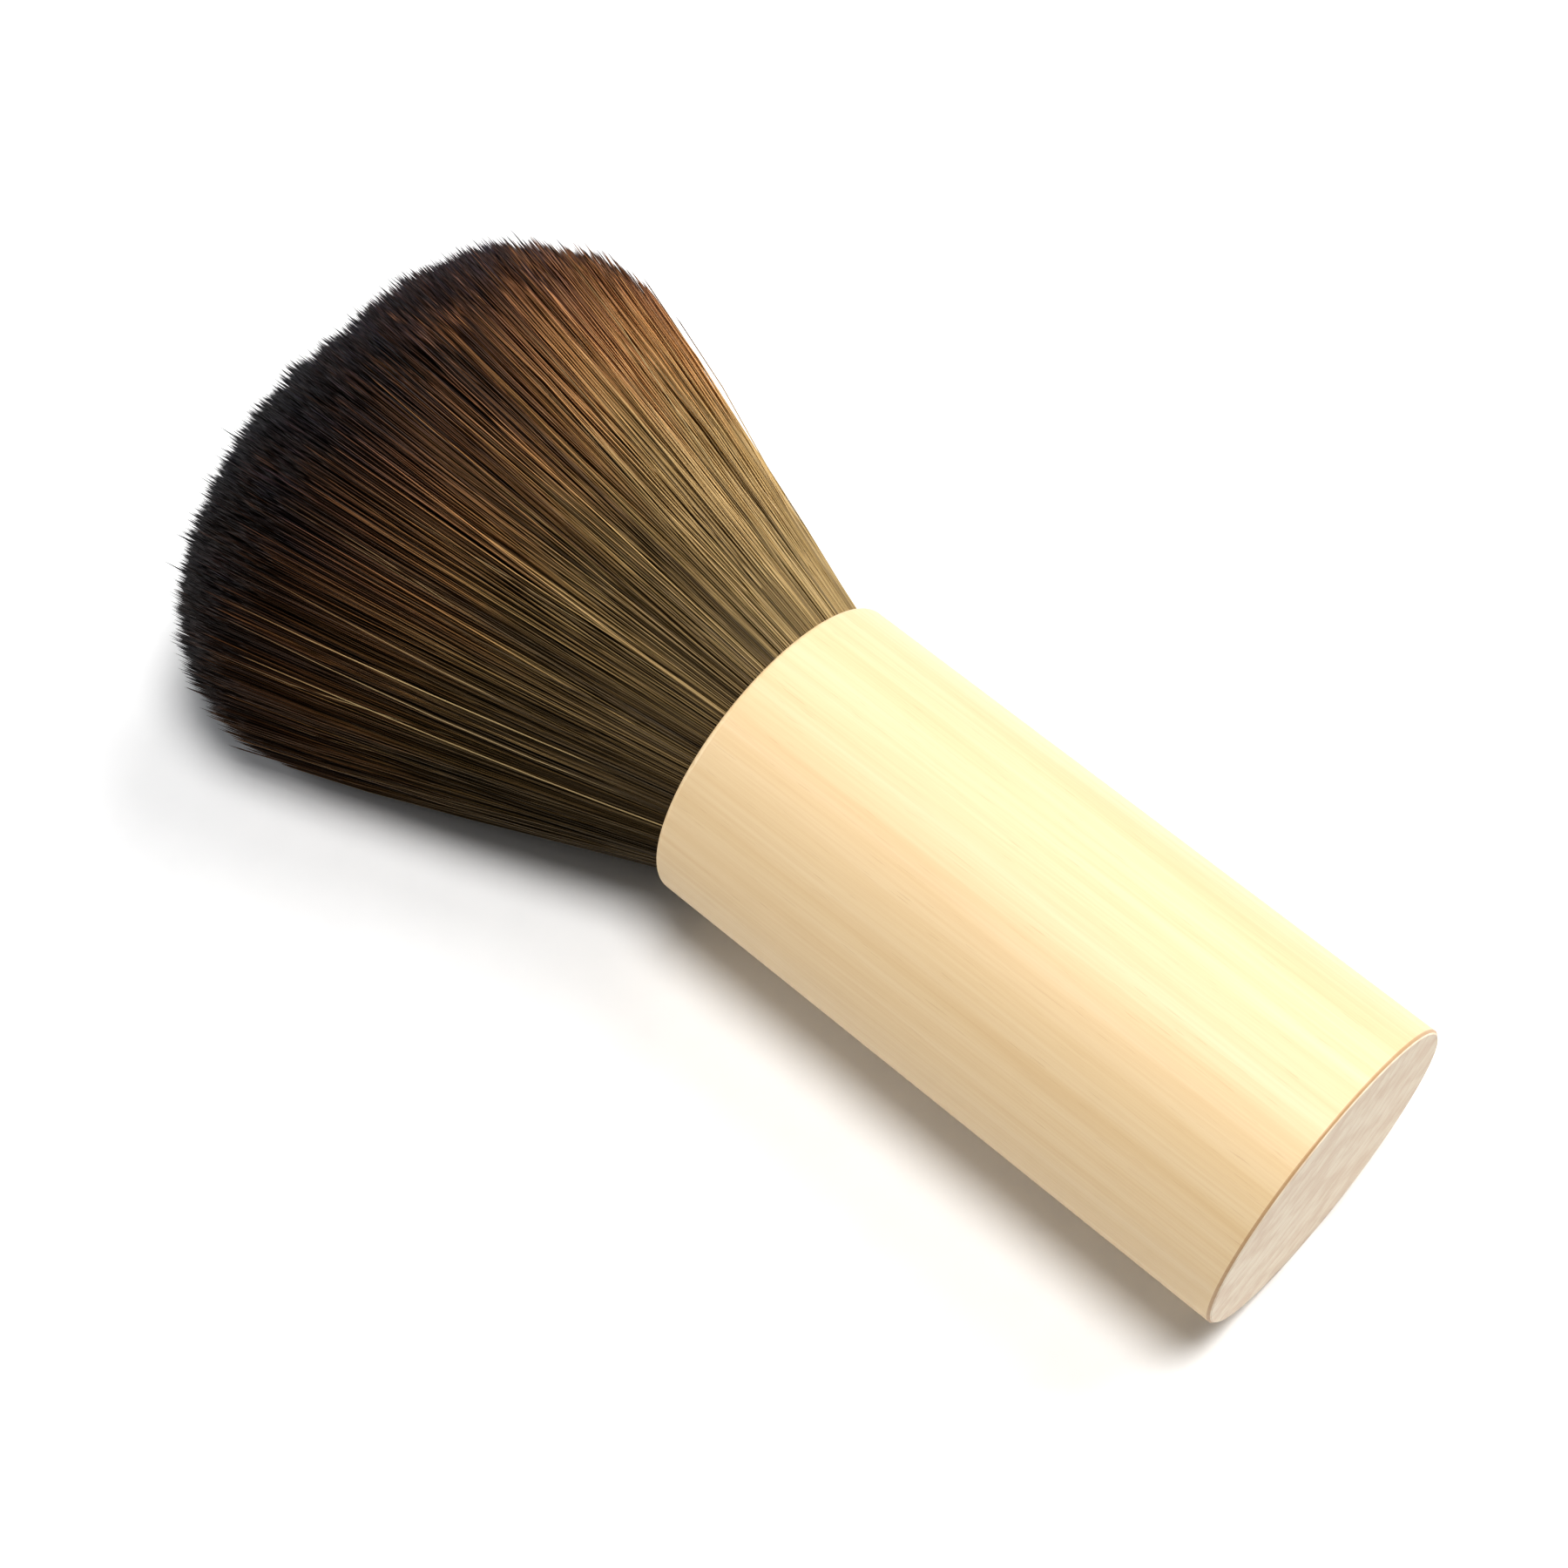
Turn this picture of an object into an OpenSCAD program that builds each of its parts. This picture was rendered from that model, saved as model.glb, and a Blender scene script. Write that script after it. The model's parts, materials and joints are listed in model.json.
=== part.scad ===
// Neck duster brush: a turned wooden handle with a blind bore, and a domed bundle of
// synthetic bristles that is bound with thread, potted in resin in an aluminium cup and
// glued into the bore.
// The brush lies on a table as it is put down: the handle rests along its side, and the
// bristles, which stand out wider than the handle, are pressed together below it.
// +X runs from the bristles to the handle's end, +Z is up, and z = 0 is the table.

/* [Handle] */
// Diameter of the turned handle
handle_d = 36; // [32:1:42]
// Length of the handle
handle_l = 72.5; // [60:0.5:90]
// Wall left round the bore at the mouth
mouth_wall = 1.4; // [1.2:0.1:2.5]
// Radius that rounds the mouth's outer edge
rim_round = 0.6; // [0.3:0.1:0.9]
// Break on the edge of the flat end
end_break = 0.3; // [0.2:0.1:0.8]
// Diameter of the centre mark that the boring bit leaves
centre_mark_d = 5; // [3:0.5:8]

/* [Ferrule] */
// Wall of the aluminium cup
ferrule_wall = 0.4; // [0.3:0.1:0.6]
// Length of the cup
ferrule_l = 28; // [26:1:32]
// How far the cup's rim sits below the mouth
ferrule_recess = 1.5; // [1:0.5:3]
// Thickness of the adhesive film round the cup
glue_film = 0.1; // [0.05:0.05:0.2]
// Thickness of the adhesive under the cup
glue_bed = 0.5; // [0.3:0.1:1]
// Depth of the resin that holds the bristle roots
resin_l = 8; // [6:1:9]

/* [Binding] */
// Diameter of the binding thread
thread_d = 0.8; // [0.5:0.1:0.9]
// Turns of thread side by side
thread_turns = 6; // [3:1:8]

/* [Bristles] */
// Length of bristle that shows at the middle of the dome
bristle_out = 65; // [56:1:72]
// Length of bristle that shows at the bundle's outer surface
shoulder = 43; // [36:1:48]
// Radius of the bundle at the shoulder
bundle_r = 32; // [28:0.5:36]
// Flare exponent: 1 fans straight out, more curls the bristles back to the axis
flare = 1.15; // [1:0.05:1.6]
// Roundness exponent of the dome: a larger one is squarer
dome = 2; // [1.5:0.1:2.4]
// How far the bundle sags towards the table, per length that shows
sag = 0.06; // [0:0.01:0.1]

/* [Locks] */
// Share of the bundle's radius that the middle lock takes
core_share = 0.38; // [0.3:0.02:0.46]
// Share of the bundle's radius where the outer locks begin
outer_from = 0.7; // [0.6:0.02:0.8]
// Locks in the inner ring
inner_locks = 4; // [3:1:6]
// Locks in the outer ring
outer_locks = 10; // [8:1:14]
// Angle left open between neighbouring locks, in degrees
lock_gap = 1; // [0.5:0.25:2]

/* [Hidden] */

seat = 0.05;                  // clearance of the resin in the cup
bore_past = 1;                // how far the bore's cutter passes the mouth
thread_gap = 0.25;            // clearance of the thread in the cup
mouth_gap = 0.4;              // clearance of the bundle in the bore's mouth
layer_gap = 0.15;             // half the clearance between two layers of locks
turn_gap = 0.02;              // clearance between two turns of thread
thread_lift = 2;              // height of the first turn above the resin
bind_l = 11;                  // length of the bound root above the resin
side_steps = 6;               // straight stretches along the part of a lock that shows
share_steps = 4;              // straight stretches from a lock's inner side to its outer side
turn_step = 7.5;              // greatest angle of a straight stretch round a lock
core_turns = 32;              // straight stretches round the middle lock
sliver = 0.01;                // how far a cutter passes the surface that it cuts
round_fn = 128;               // a full turn
small_fn = 32;                // a full turn of a small round

handle_r = handle_d / 2;
bore_r = handle_r - mouth_wall;
bore_depth = ferrule_recess + ferrule_l + glue_bed;
bore_floor = handle_l - bore_depth;
centre_mark_tip_r = 0.2;
ferrule_r = bore_r - glue_film;
ferrule_in_r = ferrule_r - ferrule_wall;
ferrule_base = bore_floor + glue_bed;
glue_up = ferrule_l / 2;      // how far the adhesive climbs the cup's wall
resin_base = ferrule_base + ferrule_wall;
resin_r = ferrule_in_r - seat;
root_base = resin_base + resin_l;
waist_r = ferrule_in_r - thread_gap - thread_d;
root_r = bore_r - mouth_gap;

// Radius of the bundle's outer surface at a distance s beyond the mouth.
fan_r = (bundle_r - root_r) / (1 - pow(1 - shoulder / bristle_out, flare));
function fan(s) = root_r + fan_r * (1 - pow(max(0, 1 - s / bristle_out), flare));

// Where a bristle ends that starts at a share q of the bundle's radius.
function tip_s(q) = shoulder + (bristle_out - shoulder) * pow(1 - pow(q, dome), 1 / dome);

// Lays a part that stands on the handle's flat end down on the table.
module lay_down() {
    translate([(handle_l + bristle_out) / 2, 0, handle_r])
        rotate([0, -90, 0])
            children();
}

// ---- Handle ----

// Half the section of the turned blank: broken edge at the flat end, rounded at the mouth.
module blank_section() {
    square([handle_r - rim_round, handle_l]);
    translate([handle_r - rim_round, handle_l - rim_round])
        circle(r = rim_round, $fn = small_fn);
    translate([handle_r - 2 * rim_round, end_break])
        square([2 * rim_round, handle_l - end_break - rim_round]);
    polygon([
        [0, 0], [handle_r - end_break, 0],
        [handle_r, end_break], [0, end_break]
    ]);
}

module handle() {
    color("burlywood")
    lay_down()
    difference() {
        rotate_extrude($fn = round_fn)
            difference() {
                blank_section();
                translate([0, bore_floor])
                    square([bore_r, bore_depth + bore_past]);
            }
        translate([0, 0, bore_floor - centre_mark_d / 2])
            cylinder(h = centre_mark_d / 2 + sliver, r1 = centre_mark_tip_r, r2 = centre_mark_d / 2,
                     $fn = round_fn);
    }
}

// ---- Ferrule and what holds the roots in it ----

// A deep-drawn cup: closed at the bottom, rounded at the rim.
module ferrule() {
    color("silver")
    lay_down()
    translate([0, 0, ferrule_base])
    rotate_extrude($fn = round_fn) {
        square([ferrule_r, ferrule_wall]);
        translate([ferrule_in_r, 0])
            square([ferrule_wall, ferrule_l - ferrule_wall / 2]);
        translate([ferrule_in_r + ferrule_wall / 2, ferrule_l - ferrule_wall / 2])
            circle(r = ferrule_wall / 2, $fn = small_fn);
    }
}

// Glue squeezed out under the cup and up the lower half of its wall.
module adhesive_layer() {
    color("khaki")
    lay_down()
    translate([0, 0, bore_floor])
    rotate_extrude($fn = round_fn) {
        square([bore_r, glue_bed]);
        translate([ferrule_r, 0])
            square([glue_film, glue_bed + glue_up]);
    }
}

// The potting resin, which sinks in a groove between the roots and the cup.
module resin_plug() {
    color("darkgoldenrod")
    lay_down()
    translate([0, 0, resin_base])
    rotate_extrude($fn = round_fn)
        difference() {
            square([resin_r, resin_l]);
            translate([resin_r, resin_l])
                circle(r = (resin_r - waist_r) / 2, $fn = small_fn);
        }
}

module binding_thread() {
    color("ivory")
    lay_down()
    for (i = [0 : thread_turns - 1])
        translate([0, 0, root_base + thread_lift + i * (thread_d + turn_gap)])
            rotate_extrude($fn = round_fn)
                translate([waist_r + seat + thread_d / 2, 0])
                    circle(r = thread_d / 2, $fn = small_fn);
}

// ---- Bristles ----

// A bristle's stations run from the root up: two on the bound length, then the shown ones.
last_station = side_steps + 2;
stations = last_station + 1;
function station_s(q, i) =
    i < 2 ? root_base + i * bind_l - handle_l : tip_s(q) * (i - 2) / side_steps;
function station_r(q, i) = i < 2 ? waist_r : fan(station_s(q, i));

// Where a bristle runs that starts at a share q of the radius and an angle from the top,
// once the table has pressed the lower ones together. As [up, across, along].
function bristle_point(q, angle, i, gap) =
    let (
        s = station_s(q, i),
        r = station_r(q, i),
        up = (q * r + gap) * cos(angle),
        across = (q * r + gap) * sin(angle),
        drop = sag * max(0, s),
        room = handle_r - drop,
        depth = sqrt(max(0, r * r - across * across)),
        squeeze = up < 0 && depth > room ? room / depth : 1
    )
    [up * squeeze - drop, across, handle_l + s];

// Two triangles for each cell of a grid of points, whose steps in the list are da and db.
function patch(first, da, na, db, nb) = [
    for (a = [0 : na - 1], b = [0 : nb - 1])
        let (p = first + a * da + b * db)
        each [[p, p + da + db, p + da], [p, p + db, p + da + db]]
];

// One of the locks side by side in a ring. The first one faces away from the table.
module ring_lock(q1, q2, count, number) {
    span = 360 / count;
    turns = ceil(span / turn_step);
    low = (number - 1.5) * span + lock_gap / 2;
    turn = (span - lock_gap) / turns;
    points = [
        for (u = [0 : share_steps])
            let (
                q = q2 - (q2 - q1) * pow(1 - u / share_steps, 2),
                gap = u == 0 ? layer_gap : u == share_steps && q2 < 1 ? -layer_gap : 0
            )
            for (v = [0 : turns], i = [0 : last_station])
                bristle_point(q, low + v * turn, i, gap)
    ];
    row = (turns + 1) * stations;
    faces = concat(
        patch(0, 1, last_station, stations, turns),
        patch(share_steps * row, stations, turns, 1, last_station),
        patch(0, stations, turns, row, share_steps),
        patch(last_station, row, share_steps, stations, turns),
        patch(0, row, share_steps, 1, last_station),
        patch(turns * stations, 1, last_station, row, share_steps)
    );
    lay_down()
        polyhedron(points, faces);
}

// The middle lock: rings of points up its side and over its share of the dome.
module bristle_core() {
    rings = concat(
        [for (i = [0 : last_station]) [core_share, i, -layer_gap]],
        [for (u = [1 : share_steps - 1]) [core_share * (1 - u / share_steps), last_station, 0]]
    );
    turn = 360 / core_turns;
    points = concat(
        [for (ring = rings, v = [0 : core_turns - 1]) bristle_point(ring[0], v * turn, ring[1], ring[2])],
        [bristle_point(0, 0, 0, 0), bristle_point(0, 0, last_station, 0)]
    );
    root = len(rings) * core_turns;
    top = root - core_turns;
    sides = [
        for (k = [0 : len(rings) - 2], v = [0 : core_turns - 1])
            let (p = k * core_turns + v, n = k * core_turns + (v + 1) % core_turns)
            each [[p, n + core_turns, n], [p, p + core_turns, n + core_turns]]
    ];
    caps = [
        for (v = [0 : core_turns - 1])
            let (n = (v + 1) % core_turns)
            each [[root, v, n], [root + 1, top + n, top + v]]
    ];
    color("saddlebrown")
    lay_down()
        polyhedron(points, concat(sides, caps));
}

module bristle_inner(number) {
    color("sienna") ring_lock(core_share, outer_from, inner_locks, number);
}

module bristle_outer(number) {
    color("peru") ring_lock(outer_from, 1, outer_locks, number);
}

handle();
ferrule();
adhesive_layer();
resin_plug();
binding_thread();
bristle_core();
for (i = [1 : inner_locks])
    bristle_inner(i);
for (i = [1 : outer_locks])
    bristle_outer(i);
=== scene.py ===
"""Looks for the neck duster brush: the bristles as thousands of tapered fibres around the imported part,
procedural materials for wood, metal, resin, glue and thread, and a plain pale studio."""
import json
import math

import bpy
import numpy as np
from mathutils import Matrix, Vector

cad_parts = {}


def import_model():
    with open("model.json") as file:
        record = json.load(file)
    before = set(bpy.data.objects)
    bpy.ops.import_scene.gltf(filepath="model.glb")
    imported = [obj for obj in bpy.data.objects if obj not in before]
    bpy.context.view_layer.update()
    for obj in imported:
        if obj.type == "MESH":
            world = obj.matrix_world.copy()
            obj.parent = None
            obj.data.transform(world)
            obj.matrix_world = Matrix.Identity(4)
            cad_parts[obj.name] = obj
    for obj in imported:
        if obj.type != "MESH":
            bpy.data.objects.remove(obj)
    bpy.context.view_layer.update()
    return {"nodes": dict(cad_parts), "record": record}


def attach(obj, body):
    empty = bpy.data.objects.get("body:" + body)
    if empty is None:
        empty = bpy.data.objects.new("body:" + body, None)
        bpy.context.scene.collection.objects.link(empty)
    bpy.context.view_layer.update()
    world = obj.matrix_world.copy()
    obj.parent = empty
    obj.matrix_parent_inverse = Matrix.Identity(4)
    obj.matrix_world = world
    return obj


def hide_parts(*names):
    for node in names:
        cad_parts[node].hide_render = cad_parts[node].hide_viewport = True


MM = 0.001
SEED = 11

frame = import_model()
mounts = {m["name"]: m for m in frame["record"]["mounts"]}

# ---- The brush's own frame: UP and ACROSS span the bristles' cross-section, ALONG runs to the tips ----
END = Vector(mounts["handle_end"]["pos_m"])
ALONG = -Vector(mounts["handle_end"]["axis"]).normalized()
ACROSS = Vector((0, 1, 0))
UP = ACROSS.cross(ALONG)
AXES = np.array([UP, ACROSS, ALONG])
HANDLE_R = mounts["handle_grip"]["dims"]["r_mm"] * MM


def reach_along(node):
    """The lowest and highest place of a CAD node along the brush's axis, from the flat end."""
    places = [(v.co - END).dot(ALONG) for v in frame["nodes"][node].data.vertices]
    return min(places), max(places)


HANDLE_L = reach_along("handle")[1]
ROOT = reach_along("resin_plug")[1]

# ---- The bundle's shape, as part.scad gives it ----
ROOT_R = 15.05 * MM           # bound root
MOUTH_R = 16.2 * MM           # at the handle's mouth
BIND_L = 11 * MM              # bound length
BRISTLE_OUT = 65 * MM         # shown length at the middle of the dome
SHOULDER = 43 * MM            # shown length at the outer surface
BUNDLE_R = 32 * MM            # at the shoulder
FLARE = 1.15                  # 1 fans straight out
DOME = 2.0                    # roundness exponent of the dome
SAG = 0.06                    # how far the bundle sags, per length
FAN_R = (BUNDLE_R - MOUTH_R) / (1 - (1 - SHOULDER / BRISTLE_OUT) ** FLARE)
CORE_SHARE, OUTER_FROM = 0.38, 0.7  # where the core ends and the outer locks begin
INNER_LOCKS, OUTER_LOCKS = 4, 10

# ---- The bristles' habits; drifts and waves are shares of the bundle's radius ----
LEAN = 0.025                  # how far the whole bundle leans to -Y, per length
NEAR_IN = 0.042               # how much less than that the outermost fibres of the near side lean
FIBRE_R = 0.085 * MM          # the usual fibre, below its taper
TIP_R = 0.065 * MM            # at the end of the taper
THICKNESS = (0.75, 1.2)       # thinnest and thickest fibre, over the usual one
TAPER = (1.1, -0.25)          # the taper is smooth(ring number / last ring number * first + second)
RINGS_OUT = (0.12, 0.3, 0.52, 0.76, 0.97)  # rings on the shown length, before the tip
SIDES = 3                     # sides of a fibre, which one triangle closes at its root
SEED_STEP = 1000              # keeps the locks' seeds apart from the brush's own
INNER_SEED, OUTER_SEED = 1, 10  # numbers of the first inner and the first outer lock

FIBRES = (4200, 4200, 3800)   # fibres in the core, in an inner lock and in an outer lock
FIBRES_PER_CLUMP = 18
BLOCK = 2000                  # fibres that are sorted into clumps at a time
PULL = (-0.05, 0.22)          # how far a clump draws together towards its tips
GATHERED = 0.9                # share of the length by which it has drawn together
CLUMP_DRIFT = 0.01
OWN_DRIFT = 0.016
STRAY_SHARE = 0.012           # share of the upper half's fibres that stray; they carry a painted glint
STRAY_DRIFT = 3               # how much further the strays drift
WAVE = 0.006
WAVE_TURNS = (3, 7)           # slowest and fastest wave, in radians along the length
WAVE_GROWS = 3                # the wave has its full size at one part in this many of the length

LUMP = 0.6 * MM               # height of the dome's slow swells
LUMP_TURN = 7                 # spread of the swells' rates over the cross-section
LUMP_PHASE = 6.3              # greatest phase of a swell, in radians
LUMP_WAVES = 6
CLUMP_LENGTH = 0.35 * MM      # spread between the clumps' lengths
OWN_LENGTH = (-0.35 * MM, 0.3 * MM)  # mean and spread within a clump
SHORTER_OFF = 6 * MM          # how much shorter a fibre is, per distance from its clump's middle
LONGER_NEAR = 2.2 * MM        # how much longer the fibres of the near side are
SHORTER_FAR = 0.9 * MM        # how much shorter the fibres of the far side are

SHADES = 64                   # columns of the bristles' colour map
CLUMP_SHADE = (0.42, 0.07)    # mean and spread of a clump's shade
OWN_SHADE = 0.12              # spread within a clump
LIT = (0.45, 0.9)             # up and across parts of the direction the light falls from; the fibres on that side are painted paler, as painted light
LIT_SHADE, DIM_SHADE = 0.38, 0.1  # how strongly the shade follows it: painted light on the lit side, painted shade on the dark side
TOP_SHADE = 0.88
# The strays' shade picks a pale cream colour: a painted glint, not the fibres' own colour.
STRAY_GLINT_SHADE = 0.98
CLUMP_SHIFT, OWN_SHIFT = 0.04, 0.03  # spreads of how far the colours slide along a fibre
SIDE_SHIFT = 0.08             # how far they slide to the tips where the fibres lie towards LIT or away from it; on the lit side this carries the painted light further out
SHIFT_GROWS = 2               # they slide in full from one part in this many of the length
COLUMN_FREE = 0.15            # share of a colour column left free at either side
ENDS_FREE = 0.004             # share of the colour map left free at either end


# ---- Bristles ----

def fan(s):
    """The bundle's outer radius at a distance beyond the mouth."""
    return MOUTH_R + FAN_R * (1 - np.maximum(0, 1 - s / BRISTLE_OUT) ** FLARE)


def tip_place(q):
    """How far beyond the mouth a fibre ends that starts at a share q of the radius."""
    return SHOULDER + (BRISTLE_OUT - SHOULDER) * (1 - np.minimum(q, 1) ** DOME) ** (1 / DOME)


def smooth(x):
    """A soft step from 0 to 1."""
    x = np.clip(x, 0, 1)
    return x * x * (3 - 2 * x)


def lumps(q, angle, waves):
    """Slow swells of the dome over the cross-section."""
    x, y = q * np.cos(angle), q * np.sin(angle)
    total = sum(np.sin(a * x + b * y + c) for a, b, c in waves)
    return total / math.sqrt(len(waves))


def press(up, across, shown, radius):
    """Places up the cross-section once the bundle has sagged and the table has pressed its lower side."""
    room = HANDLE_R - SAG * shown
    depth = np.sqrt(np.maximum(radius ** 2 - across ** 2, 0))
    squeeze = np.where((up < 0) & (depth > room), room / np.maximum(depth, room), 1)
    return np.maximum(up * squeeze, FIBRE_R - room) - SAG * shown


def clumped(flat):
    """The middles of the clumps on the cross-section, and the number of each fibre's nearest one."""
    heads = flat[:max(1, len(flat) // FIBRES_PER_CLUMP)]
    owner = np.empty(len(flat), int)
    for start in range(0, len(flat), BLOCK):
        part = flat[start:start + BLOCK]
        owner[start:start + BLOCK] = ((part[:, None] - heads[None]) ** 2).sum(2).argmin(1)
    return heads, owner


def shading(flat, owner, clumps, glinting_stray, rng):
    """Every fibre's shade, from 0 to 1, and how far its colours slide along it. Besides random tone, the
    shade holds painted light: paler towards LIT, darker away from it.
    """
    count = len(flat)
    lit = flat @ np.array(LIT)
    shade = rng.normal(*CLUMP_SHADE, clumps)[owner] + rng.normal(0, OWN_SHADE, count)
    # Painted light and shade: paler on the side the light falls on, darker on the side away from it.
    shade = shade + np.where(lit > 0, LIT_SHADE, DIM_SHADE) * lit
    shade = np.clip(shade, 0, TOP_SHADE)
    # Strays get the shade of the painted glint.
    shade[glinting_stray] = STRAY_GLINT_SHADE
    shift = rng.normal(0, CLUMP_SHIFT, clumps)[owner] + rng.normal(0, OWN_SHIFT, count)
    # The slide follows the light's direction: on the lit side it stretches the painted light's paler
    # colours towards the tips.
    return shade, shift - SIDE_SHIFT * np.abs(lit)


def centrelines(q_low, q_high, angle_low, angle_high, count, rng, waves):
    """Every fibre of a lock: its rings' centres in the part's frame, their places along the shown
    length, its shade and its colour shift."""
    q = np.sqrt(rng.uniform(q_low ** 2, q_high ** 2, count))
    angle = rng.uniform(angle_low, angle_high, count)
    flat = np.stack([q * np.cos(angle), q * np.sin(angle)], axis=1)
    heads, owner = clumped(flat)
    clumps = len(heads)
    off = flat - heads[owner]

    pull = rng.uniform(*PULL, clumps)[owner]
    clump_drift = rng.normal(0, CLUMP_DRIFT, (clumps, 2))[owner]
    own_drift = rng.normal(0, OWN_DRIFT, (count, 2))
    glinting_stray = (rng.random(count) < STRAY_SHARE) & (flat[:, 0] > 0)
    own_drift[glinting_stray] *= STRAY_DRIFT
    pull[glinting_stray] = 0
    clump_length = rng.normal(0, CLUMP_LENGTH, clumps)[owner]
    own_length = rng.normal(*OWN_LENGTH, count) - SHORTER_OFF * np.linalg.norm(off, axis=1)
    own_length -= np.where(flat[:, 1] < 0, LONGER_NEAR, SHORTER_FAR) * flat[:, 1]
    length = tip_place(q) + LUMP * lumps(q, angle, waves) + clump_length + own_length

    root, bound = ROOT - HANDLE_L, ROOT - HANDLE_L + BIND_L
    places = np.concatenate([np.full((count, 1), root),
                             np.full((count, 1), bound),
                             np.zeros((count, 1)),
                             length[:, None] * np.array(RINGS_OUT + (1.0,))], axis=1)
    t = np.clip(places / length[:, None], 0, 1)
    shown = np.maximum(places, 0)
    radius = np.where(places < 0, np.interp(places, [bound, 0], [ROOT_R, MOUTH_R]), fan(shown))
    gather = smooth(t / GATHERED)[..., None]
    cross = heads[owner][:, None] + off[:, None] * (1 - pull[:, None, None] * gather)
    cross = cross + (clump_drift + own_drift)[:, None] * gather
    phase = rng.uniform(0, 2 * math.pi, (count, 1))
    wave = np.sin(t * rng.uniform(*WAVE_TURNS, (count, 1)) + phase) - np.sin(phase)
    cross = cross + WAVE * (wave * smooth(t * WAVE_GROWS))[..., None] * rng.normal(0, 1, (count, 1, 2))
    cross = cross * radius[..., None]

    across = cross[..., 1]
    up = press(cross[..., 0], across, shown, radius)
    near_side = np.clip(-across / radius, 0, 1) ** 2
    across = across - LEAN * shown + NEAR_IN * shown * near_side
    local = np.stack([up, across, places + HANDLE_L], axis=2)
    points = local @ AXES + np.array(END)
    shade, shift = shading(flat, owner, clumps, glinting_stray, rng)
    return points, np.clip(places / BRISTLE_OUT, 0, 1), shade, shift


def fibre_faces(body):
    """The faces of one fibre of `body` rings and a point: corners, their rings, their places round."""
    corners, rings, rounds = [], [], []
    for k in range(body - 1):
        for j in range(SIDES):
            n = (j + 1) % SIDES
            low, high = k * SIDES, (k + 1) * SIDES
            corners.append((low + j, low + n, high + n, high + j))
            rings.append((k, k, k + 1, k + 1))
            rounds.append((0, 1, 1, 0))
    last = (body - 1) * SIDES
    for j in range(SIDES):
        corners.append((last + j, last + (j + 1) % SIDES, last + SIDES))
        rings.append((body - 1, body - 1, body))
        rounds.append((0, 1, 0.5))
    corners.append((2, 1, 0))
    rings.append((0, 0, 0))
    rounds.append((0, 1, 0.5))
    return corners, rings, rounds


def fibre_corners(centres, rng):
    """Every fibre's corners: SIDES of them round each ring but the last, then the point at its tip."""
    count, rings = centres.shape[:2]
    body = rings - 1
    tangent = np.gradient(centres, axis=1)
    tangent /= np.linalg.norm(tangent, axis=2, keepdims=True)
    side = rng.normal(0, 1, (count, 1, 3))
    first = side - tangent * (side * tangent).sum(2, keepdims=True)
    first /= np.linalg.norm(first, axis=2, keepdims=True)
    second = np.cross(tangent, first)
    thick = FIBRE_R * rng.uniform(*THICKNESS, (count, 1))
    taper = smooth((np.arange(rings) / body)[None] * TAPER[0] + TAPER[1])
    radius = TIP_R + (thick - TIP_R) * (1 - taper)
    turn = np.arange(SIDES) * 2 * math.pi / SIDES
    spokes = (first[:, :, None] * np.cos(turn)[:, None] + second[:, :, None] * np.sin(turn)[:, None])
    ring_points = centres[:, :, None] + spokes * radius[..., None, None]
    return np.concatenate([ring_points[:, :body].reshape(count, -1, 3), centres[:, -1:]], axis=1)


def add_colour_map(me, face_rings, face_rounds, along, shade, shift):
    """A fibre's shade picks its column of the map, and the place along the fibre is the height."""
    rows = np.array([i for face in face_rings for i in face])
    rounds = np.array([i for face in face_rounds for i in face])
    column = np.minimum((shade * SHADES).astype(int), SHADES - 1)
    u = (column[:, None] + COLUMN_FREE + (1 - 2 * COLUMN_FREE) * rounds[None]) / SHADES
    v = np.clip(along + shift[:, None] * smooth(along * SHIFT_GROWS), ENDS_FREE, 1 - ENDS_FREE)
    uv = np.stack([u, v[:, rows]], axis=2)
    layer = me.uv_layers.new(name="OFBake")
    layer.data.foreach_set("uv", uv.reshape(-1).astype(np.float32))


def fibre_mesh(name, centres, along, shade, shift, rng):
    """One closed three-sided tapered prism for each fibre, ending in a point."""
    count, rings = centres.shape[:2]
    body = rings - 1
    verts = fibre_corners(centres, rng)
    corners, face_rings, face_rounds = fibre_faces(body)
    per_fibre = body * SIDES + 1
    loops = np.array([i for face in corners for i in face])
    loops = (np.arange(count)[:, None] * per_fibre + loops[None]).reshape(-1)
    sizes = np.tile([len(face) for face in corners], count)
    starts = np.concatenate([[0], np.cumsum(sizes)[:-1]])

    me = bpy.data.meshes.new(name)
    me.vertices.add(count * per_fibre)
    me.vertices.foreach_set("co", verts.reshape(-1).astype(np.float32))
    me.loops.add(len(loops))
    me.loops.foreach_set("vertex_index", loops.astype(np.int32))
    me.polygons.add(len(sizes))
    me.polygons.foreach_set("loop_start", starts.astype(np.int32))
    me.polygons.foreach_set("use_smooth", np.ones(len(sizes), bool))
    add_colour_map(me, face_rings, face_rounds, along, shade, shift)
    me.update(calc_edges=True)
    me.validate()
    ob = bpy.data.objects.new(name, me)
    bpy.context.collection.objects.link(ob)
    return ob


def lock(number, name, node, shares, angles, count, waves, material):
    """One lock of fibres between two shares of the radius and two angles, in place of its CAD solid."""
    rng = np.random.default_rng(SEED * SEED_STEP + number)
    centres, along, shade, shift = centrelines(*shares, *angles, count, rng, waves)
    ob = fibre_mesh(name, centres, along, shade, shift, rng)
    ob.data.materials.append(material)
    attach(ob, "root")
    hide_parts(node)


def ring_of_locks(ring, locks, first_seed, shares, count, waves, material):
    """Locks side by side round the axis. The first one faces away from the table."""
    span = 2 * math.pi / locks
    for i in range(locks):
        angles = ((i - 0.5) * span, (i + 0.5) * span)
        lock(first_seed + i, f"bristles_{ring}_{i + 1}", f"bristle_{ring}_{i + 1}", shares, angles,
             count, waves, material)


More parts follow.
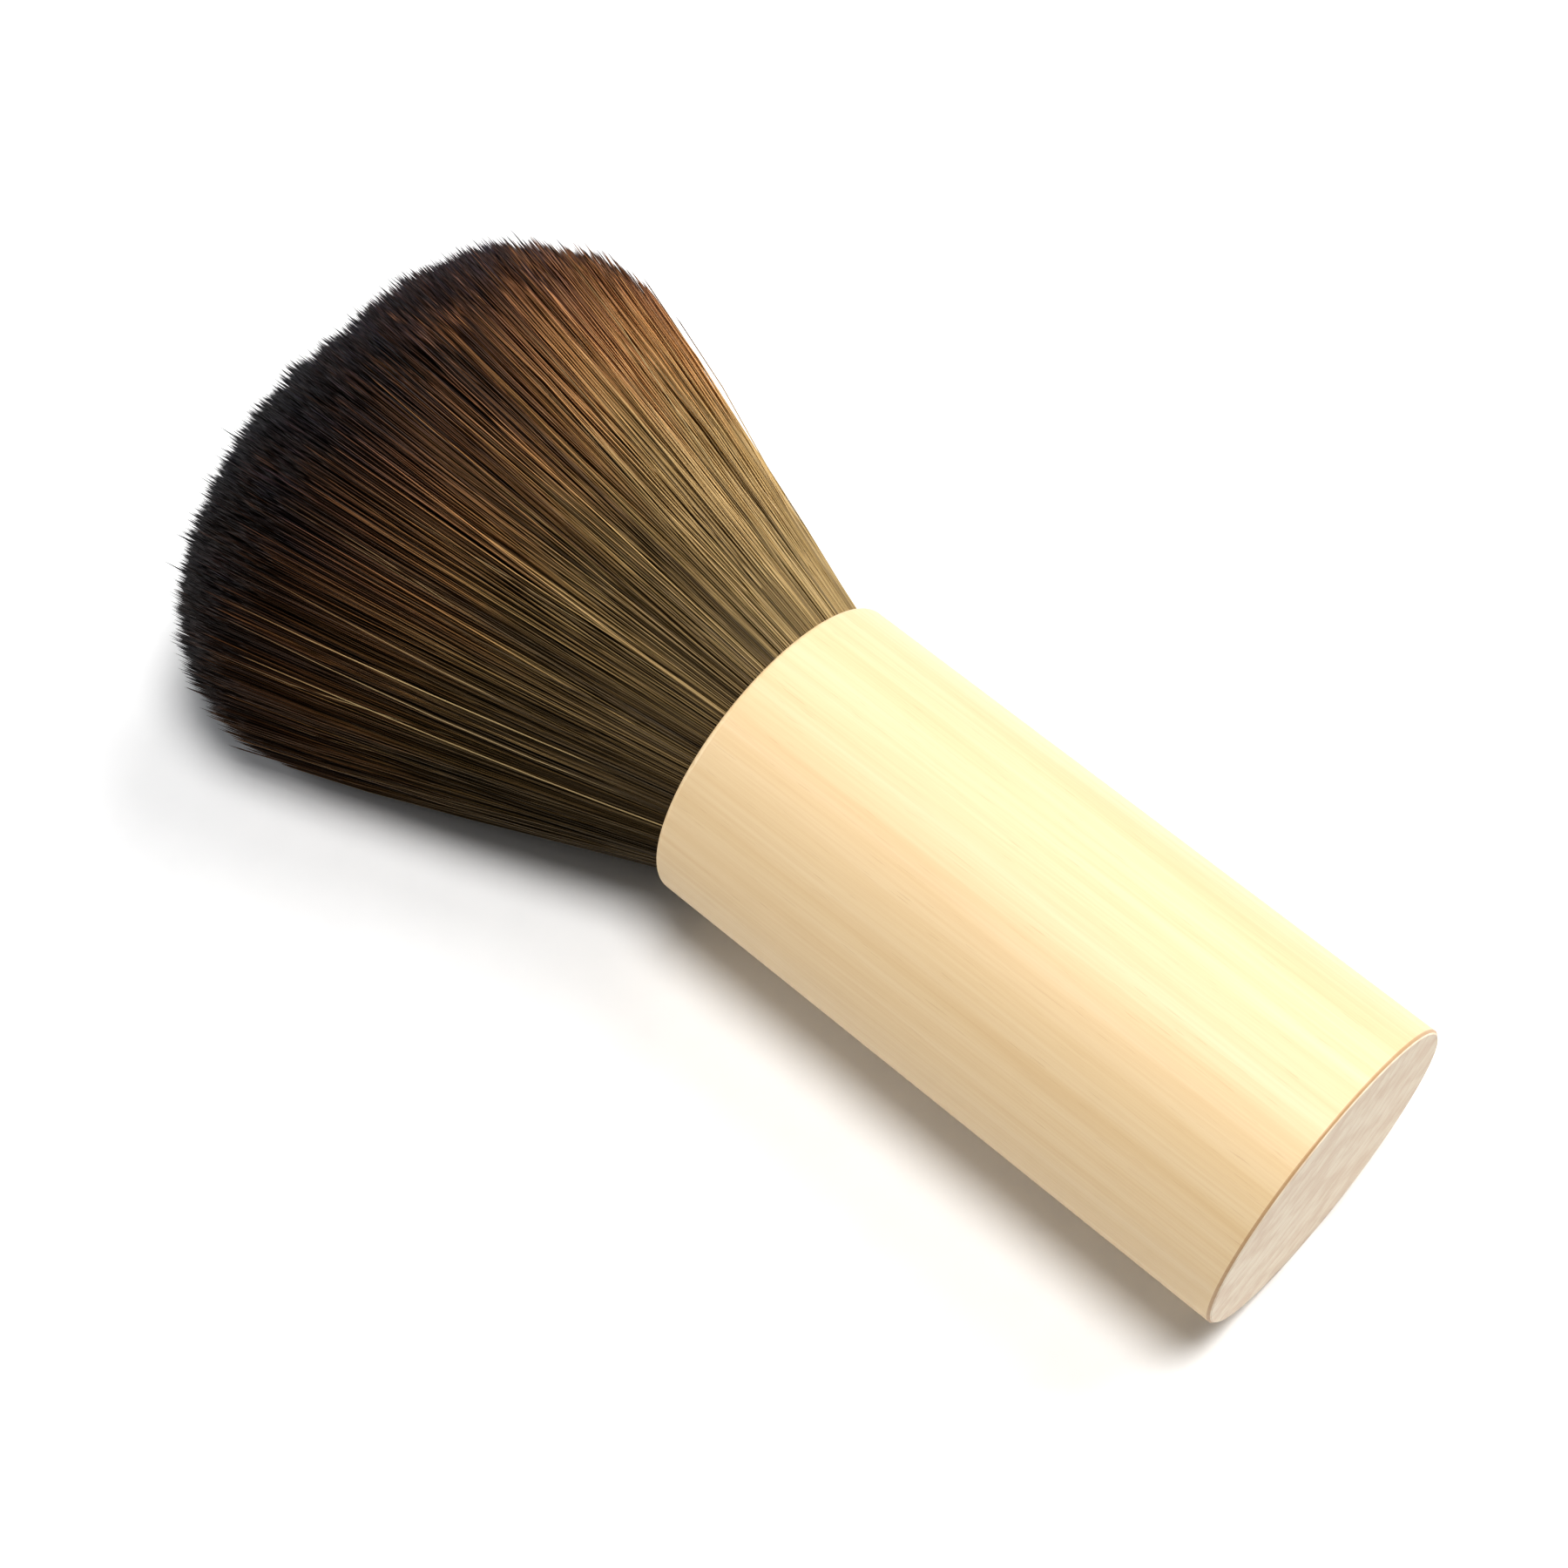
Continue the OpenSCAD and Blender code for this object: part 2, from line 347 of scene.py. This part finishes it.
def bristles(material):
    """The whole bundle: the core, then the inner and the outer ring of locks."""
    rng = np.random.default_rng(SEED)
    waves = [(*rng.normal(0, LUMP_TURN, 2), rng.uniform(0, LUMP_PHASE)) for _ in range(LUMP_WAVES)]
    core, inner, outer = FIBRES
    lock(0, "bristles_core", "bristle_core", (0, CORE_SHARE), (0, 2 * math.pi), core, waves, material)
    ring_of_locks("inner", INNER_LOCKS, INNER_SEED, (CORE_SHARE, OUTER_FROM), inner, waves, material)
    ring_of_locks("outer", OUTER_LOCKS, OUTER_SEED, (OUTER_FROM, 1), outer, waves, material)


# ---- Materials ----

# In millimetres, as Nodes.brush_place gives places.
PITH = (31.0, -22.0, 0.0)     # the tree's middle
RINGS_PER_MM = 0.42
END_SKIN = 0.12               # depth of the sawn end's look
END_EDGE = 0.42               # depth of the darker line round it
TWISTS_ROUND = 90.0           # radians of the thread's twist per radian round the bundle
TWIST_SLANT = 6.0             # radians of the twist per millimetre along the brush


class Nodes:
    """A short way to build a node tree around one Principled shader."""

    def __init__(self, name):
        self.mat = bpy.data.materials.new(name)
        self.mat.use_nodes = True
        self.tree = self.mat.node_tree
        self.shader = next(n for n in self.tree.nodes if n.type == "BSDF_PRINCIPLED")

    def add(self, kind, inputs=None, **settings):
        node = self.tree.nodes.new("ShaderNode" + kind)
        for key, value in settings.items():
            setattr(node, key, value)
        for key, value in (inputs or {}).items():
            self.put(value, node.inputs[key])
        return node

    def put(self, value, socket):
        if isinstance(value, bpy.types.NodeSocket):
            self.tree.links.new(value, socket)
        else:
            socket.default_value = value

    def math(self, operation, a, b=0.0):
        return self.add("Math", {0: a, 1: b}, operation=operation).outputs[0]

    def ramp(self, fac, stops, interpolation="LINEAR"):
        node = self.add("ValToRGB", {"Fac": fac})
        elements = node.color_ramp.elements
        while len(elements) < len(stops):
            elements.new(0.5)
        for element, (place, colour) in zip(elements, stops):
            element.position = place
            element.color = (*colour, 1)
        node.color_ramp.interpolation = interpolation
        return node.outputs["Color"]

    def mix(self, fac, a, b, blend="MIX"):
        """Mixes two colours. The Mix node's colours are its sockets 6 and 7, and come out at 2."""
        node = self.add("Mix", data_type="RGBA", blend_type=blend)
        self.put(fac, node.inputs[0])
        for value, socket in ((a, node.inputs[6]), (b, node.inputs[7])):
            self.put((*value, 1) if isinstance(value, tuple) and len(value) == 3 else value, socket)
        return node.outputs[2]

    def noise(self, vector, scale, detail=4.0, roughness=0.55):
        settings = {"Vector": vector, "Scale": scale, "Detail": detail, "Roughness": roughness}
        return self.add("TexNoise", settings).outputs["Fac"]

    def stretched(self, vector, scale):
        return self.add("Mapping", {"Vector": vector, "Scale": scale}).outputs[0]

    def bump(self, height, strength, distance):
        return self.add("Bump", {"Height": height, "Strength": strength, "Distance": distance}).outputs[0]

    def finish(self, **sockets):
        for key, value in sockets.items():
            self.put(value, self.shader.inputs[key.replace("_", " ")])
        return self.mat

    def brush_place(self):
        """The place on the brush in millimetres: X up, Y across, Z from the flat end to the tips."""
        place = self.add("TexCoord").outputs["Object"]
        turn = Matrix(AXES.tolist()).to_euler("XYZ")
        moved = self.add("VectorMath", {0: place, 1: tuple(END)}, operation="SUBTRACT").outputs[0]
        turned = self.add("VectorRotate", {"Vector": moved, "Rotation": tuple(turn)},
                          rotation_type="EULER_XYZ")
        node = self.add("VectorMath", {0: turned.outputs[0]}, operation="SCALE")
        node.inputs["Scale"].default_value = 1 / MM
        return node.outputs[0]


def srgb(r, g, b):
    """Linear colour from the 0 to 255 numbers of a colour picker."""
    return tuple((c / 255 / 12.92) if c <= 10 else ((c / 255 + 0.055) / 1.055) ** 2.4 for c in (r, g, b))


def grey(value):
    return (value,) * 3


def bristle_material():
    """Olive brown roots, auburn middles and black tips, paler or darker by the fibre's shade, which holds
    painted light and shade besides random tone; the strays carry a painted glint.
    """
    n = Nodes("bristle_fibre")
    uv = n.add("UVMap", uv_map="OFBake").outputs[0]
    parts = n.add("SeparateXYZ", {0: uv})
    shade, along = parts.outputs[0], parts.outputs[1]
    body = n.ramp(along, [(0.0, srgb(94, 77, 46)), (0.3, srgb(105, 84, 49)), (0.46, srgb(109, 79, 44)),
                          (0.6, srgb(84, 56, 32)), (0.72, srgb(45, 31, 25)), (0.84, srgb(30, 25, 26)),
                          (1.0, srgb(25, 24, 27))])
    # Brightness by shade: the high stops hold the lit side's painted light, and the top one the strays'
    # painted glint.
    bright = n.ramp(shade, [(0.0, grey(0.4)), (0.4, grey(0.9)), (0.7, (2.8, 3.1, 4.0)),
                            (0.88, (4.4, 5.0, 7.0)), (0.95, grey(1.4))])
    mottle = n.noise(n.stretched(uv, (SHADES, 9, 1)), 1.0, 3.0)
    mottle = n.ramp(mottle, [(0.3, grey(0.8)), (0.7, grey(1.2))])
    colour = n.mix(1.0, n.mix(1.0, body, bright, "MULTIPLY"), mottle, "MULTIPLY")
    # Painted glint: the strays turn pale cream from the root to about two-fifths of the way, fading out by
    # two-thirds.
    glinting_stray = n.ramp(shade, [(0.9, grey(0.0)), (0.93, grey(1.0))])
    painted_glint = n.math("MULTIPLY", glinting_stray, n.ramp(along, [(0.42, grey(0.75)), (0.68, grey(0.0))]))
    colour = n.mix(painted_glint, colour, srgb(188, 168, 128))
    rough = n.math("ADD", n.math("MULTIPLY", along, -0.1), 0.46)
    return n.finish(Base_Color=colour, Roughness=rough, Specular_IOR_Level=0.35)


def growth_rings(n, place):
    """Bands round the tree's pith, which lies outside the handle."""
    warp = n.noise(n.stretched(place, (0.06, 0.06, 0.008)), 1.0, 3.0)
    off = n.add("VectorMath", {0: place, 1: PITH}, operation="SUBTRACT").outputs[0]
    flat = n.add("VectorMath", {0: off, 1: (1.0, 1.0, 0.0)}, operation="MULTIPLY").outputs[0]
    pith = n.add("VectorMath", {0: flat}, operation="LENGTH").outputs["Value"]
    year = n.math("ADD", n.math("MULTIPLY", pith, RINGS_PER_MM), n.math("MULTIPLY", warp, 3.2))
    return n.ramp(n.math("FRACT", year),
                  [(0.0, grey(0.1)), (0.55, grey(0.35)), (0.88, grey(1.0)), (1.0, grey(0.1))], "EASE")


def turned_side(n, place, ring, fibre):
    """The turned side's colour: broad streaks, the growth rings, fine fibre and pores."""
    streak = n.noise(n.stretched(place, (0.5, 0.5, 0.012)), 1.0, 3.0)
    side = n.ramp(streak, [(0.28, srgb(227, 202, 163)), (0.5, srgb(231, 208, 171)),
                           (0.72, srgb(234, 213, 179))])
    side = n.mix(n.math("MULTIPLY", ring, 0.09), side, srgb(214, 177, 134))
    fine = n.ramp(fibre, [(0.4, grey(0.0)), (0.66, grey(1.0))])
    side = n.mix(n.math("MULTIPLY", fine, 0.16), side, srgb(206, 166, 118))
    pores = n.noise(n.stretched(place, (7.0, 7.0, 0.25)), 1.0, 2.0, 0.4)
    pores = n.ramp(pores, [(0.68, grey(0.0)), (0.74, grey(1.0))])
    return n.mix(n.math("MULTIPLY", pores, 0.18), side, srgb(176, 128, 82))


def sawn_end(n, place, ring):
    """The sawn end's colour: the growth rings, mottling and blotches."""
    mottle = n.noise(place, 1.1, 5.0, 0.7)
    end = n.mix(n.math("MULTIPLY", ring, 0.35), srgb(250, 239, 220), srgb(228, 206, 180))
    end = n.mix(n.math("MULTIPLY", mottle, 0.3), end, srgb(214, 188, 162))
    blotch = n.ramp(n.noise(place, 0.22, 3.0, 0.6), [(0.42, grey(0.0)), (0.6, grey(1.0))])
    return n.mix(n.math("MULTIPLY", blotch, 0.4), end, srgb(218, 190, 166))


def wood_material():
    """Pale wood turned off the tree's middle, with a darker line at the edge of its sawn end."""
    n = Nodes("turned_wood")
    place = n.brush_place()
    along = n.add("SeparateXYZ", {0: place}).outputs[2]
    ring = growth_rings(n, place)
    fibre = n.noise(n.stretched(place, (3.4, 3.4, 0.05)), 1.0, 5.0, 0.65)
    side = turned_side(n, place, ring, fibre)
    end = sawn_end(n, place, ring)
    is_end = n.math("LESS_THAN", along, END_SKIN)
    is_edge = n.math("LESS_THAN", along, END_EDGE)
    side = n.mix(n.math("MULTIPLY", is_edge, 0.5), side, srgb(168, 118, 76))
    colour = n.mix(is_end, side, end)

    rough = n.math("ADD", n.math("MULTIPLY", fibre, 0.14), n.math("MULTIPLY", is_end, 0.2))
    rough = n.math("ADD", rough, 0.36)
    height = n.math("ADD", n.math("MULTIPLY", fibre, 0.7), n.math("MULTIPLY", ring, 0.3))
    normal = n.bump(height, 0.25, 0.06 * MM)
    return n.finish(Base_Color=colour, Roughness=rough, Normal=normal, Specular_IOR_Level=0.4)


def aluminium_material():
    """Aluminium with fine lines along the way it was drawn."""
    n = Nodes("drawn_aluminium")
    place = n.brush_place()
    drawn = n.noise(n.stretched(place, (2.0, 2.0, 0.08)), 1.0, 4.0)
    colour = n.ramp(drawn, [(0.3, (0.62, 0.62, 0.63)), (0.7, (0.8, 0.8, 0.81))])
    rough = n.math("ADD", n.math("MULTIPLY", drawn, 0.2), 0.24)
    return n.finish(Base_Color=colour, Roughness=rough, Metallic=1.0, Normal=n.bump(drawn, 0.2, 0.03 * MM))


def cured_material(name, light, dark, rough):
    """Cured resin or glue: cloudy colour, small bubbles and a slightly wavy glossy skin."""
    n = Nodes(name)
    place = n.brush_place()
    cloud = n.noise(place, 0.35, 4.0)
    colour = n.ramp(cloud, [(0.3, dark), (0.7, light)])
    bubble = n.add("TexVoronoi", {"Vector": place, "Scale": 1.3}).outputs["Distance"]
    bubble = n.math("LESS_THAN", bubble, 0.12)
    colour = n.mix(n.math("MULTIPLY", bubble, 0.4), colour, light)
    shine = n.math("ADD", n.math("MULTIPLY", cloud, 0.12), rough)
    return n.finish(Base_Color=colour, Roughness=shine, Normal=n.bump(cloud, 0.3, 0.1 * MM))


def thread_material():
    """Thread whose twist shows as slanting stripes round each turn."""
    n = Nodes("twisted_thread")
    place = n.brush_place()
    parts = n.add("SeparateXYZ", {0: place})
    around = n.math("ARCTAN2", parts.outputs[1], parts.outputs[0])
    slant = n.math("ADD", n.math("MULTIPLY", around, TWISTS_ROUND),
                   n.math("MULTIPLY", parts.outputs[2], TWIST_SLANT))
    twist = n.math("SINE", slant)
    twist = n.math("ADD", n.math("MULTIPLY", twist, 0.5), 0.5)
    fuzz = n.noise(place, 6.0, 3.0)
    colour = n.mix(twist, srgb(176, 166, 142), srgb(228, 221, 200))
    colour = n.mix(n.math("MULTIPLY", fuzz, 0.3), colour, srgb(150, 138, 112))
    rough = n.math("ADD", n.math("MULTIPLY", fuzz, 0.2), 0.6)
    return n.finish(Base_Color=colour, Roughness=rough, Normal=n.bump(twist, 0.6, 0.1 * MM))


def floor_material():
    """Matt, nearly white, with a faint grain."""
    n = Nodes("pale_floor")
    place = n.add("TexCoord").outputs["Object"]
    grain = n.noise(place, 180.0, 3.0)
    colour = n.ramp(grain, [(0.3, (0.93, 0.935, 0.945)), (0.7, (0.95, 0.955, 0.965))])
    return n.finish(Base_Color=colour, Roughness=0.75, Specular_IOR_Level=0.2)


def dress(node, material):
    """Gives a CAD node that stays on show its material."""
    ob = frame["nodes"][node]
    for place in ob.material_slots:
        place.material = material
    if not ob.material_slots:
        ob.data.materials.append(material)


# ---- Studio ----

FLOOR_HALF = 3.0
WARM_WHITE = (1.0, 0.985, 0.965)
COOL_WHITE = (0.97, 0.985, 1.0)
SOFTBOXES = {  # place, target, diameter, watts and colour
    "overhead": ((0.1, -0.01, 0.9), (0, 0, 0.02), 0.36, 4.4, WARM_WHITE),
    "back": ((0.14, 0.7, 0.72), (0, 0, 0.02), 0.92, 6.2, WARM_WHITE),
    "tip_side": ((-0.78, -0.4, 0.28), (-0.02, 0, 0.02), 0.5, 2.7, COOL_WHITE),
}
WORLD_COLOUR, WORLD_STRENGTH = (0.95, 0.975, 1.0), 0.07
AZIMUTH, ELEVATION = math.radians(41.564), math.radians(61.504)
LENS, SENSOR = 81.05, 36
CAMERA_FROM_END = Vector((47.04, -132.77, 321.34)) * MM  # from the middle of the flat end


def floor():
    """A square that the brush lies in the middle of."""
    me = bpy.data.meshes.new("floor")
    corners = [(x * FLOOR_HALF, y * FLOOR_HALF, 0) for x, y in ((-1, -1), (1, -1), (1, 1), (-1, 1))]
    me.from_pydata(corners, [], [(0, 1, 2, 3)])
    ob = bpy.data.objects.new("floor", me)
    bpy.context.collection.objects.link(ob)
    me.materials.append(floor_material())


def softbox(name, place, target, size, energy, colour):
    """A round soft light at a place, facing a target."""
    light = bpy.data.lights.new(name, "AREA")
    light.shape = "DISK"
    light.size = size
    light.energy = energy
    light.color = colour
    ob = bpy.data.objects.new(name, light)
    ob.location = place
    ob.rotation_mode = "QUATERNION"
    ob.rotation_quaternion = (Vector(target) - Vector(place)).to_track_quat("-Z", "Y")
    ob.visible_camera = False
    bpy.context.collection.objects.link(ob)


def world():
    """A weak even light from all round."""
    made = bpy.data.worlds.new("studio")
    made.use_nodes = True
    back = made.node_tree.nodes["Background"]
    back.inputs["Color"].default_value = (*WORLD_COLOUR, 1)
    back.inputs["Strength"].default_value = WORLD_STRENGTH
    bpy.context.scene.world = made


def studio():
    """Floor, lights and the look of the view."""
    floor()
    for name, settings in SOFTBOXES.items():
        softbox(name, *settings)
    world()
    bpy.context.scene.view_settings.view_transform = "Standard"
    bpy.context.scene.view_settings.look = "High Contrast"


def camera():
    """The view from the front right and well above, with a short telephoto lens."""
    back = Vector((math.sin(AZIMUTH) * math.cos(ELEVATION), -math.cos(AZIMUTH) * math.cos(ELEVATION),
                   math.sin(ELEVATION)))
    cam = bpy.data.cameras.new("camera")
    cam.sensor_width = SENSOR
    cam.lens = LENS
    cam.clip_start = 0.01
    ob = bpy.data.objects.new("camera", cam)
    ob.location = END + CAMERA_FROM_END
    ob.rotation_mode = "QUATERNION"
    ob.rotation_quaternion = (-back).to_track_quat("-Z", "Y")
    bpy.context.collection.objects.link(ob)
    bpy.context.scene.camera = ob


camera()
studio()
bristles(bristle_material())
dress("handle", wood_material())
dress("ferrule", aluminium_material())
dress("adhesive_layer", cured_material("cured_adhesive", srgb(226, 208, 158), srgb(196, 172, 112), 0.2))
dress("resin_plug", cured_material("potting_resin", srgb(176, 128, 60), srgb(122, 80, 34), 0.12))
dress("binding_thread", thread_material())
